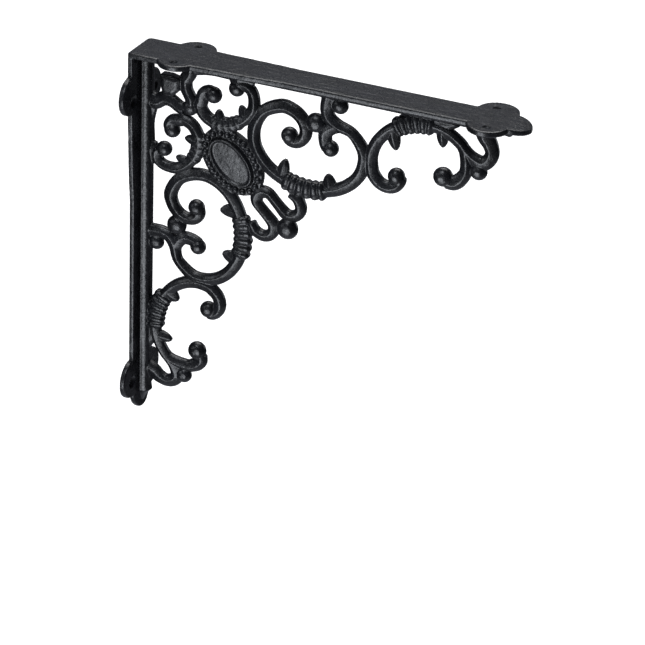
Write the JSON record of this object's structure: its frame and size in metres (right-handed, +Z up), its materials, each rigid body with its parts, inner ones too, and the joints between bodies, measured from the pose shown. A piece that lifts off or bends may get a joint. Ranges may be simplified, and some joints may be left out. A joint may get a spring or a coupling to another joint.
{
  "type": "ornate cast iron shelf bracket",
  "caption": "Right-angled cast iron shelf bracket: a shelf plate and a wall plate with lobed screw ends, joined by a pierced web of scrolls round an oval medallion.",
  "frame": {"origin": "on the wall plate's back face, in the web's middle plane, midway between the upper and the lower pair of wall screws", "axes": "+X out from the wall along the shelf plate, +Y sideways across the plates, +Z up to the shelf"},
  "size_m": [0.2747, 0.0571, 0.2747],
  "materials": {
    "cast_iron_black": "satin black paint over a sand-cast surface"
  },
  "bodies": {
    "root": {"bracket": "cast_iron_black"}
  },
  "joints": []
}
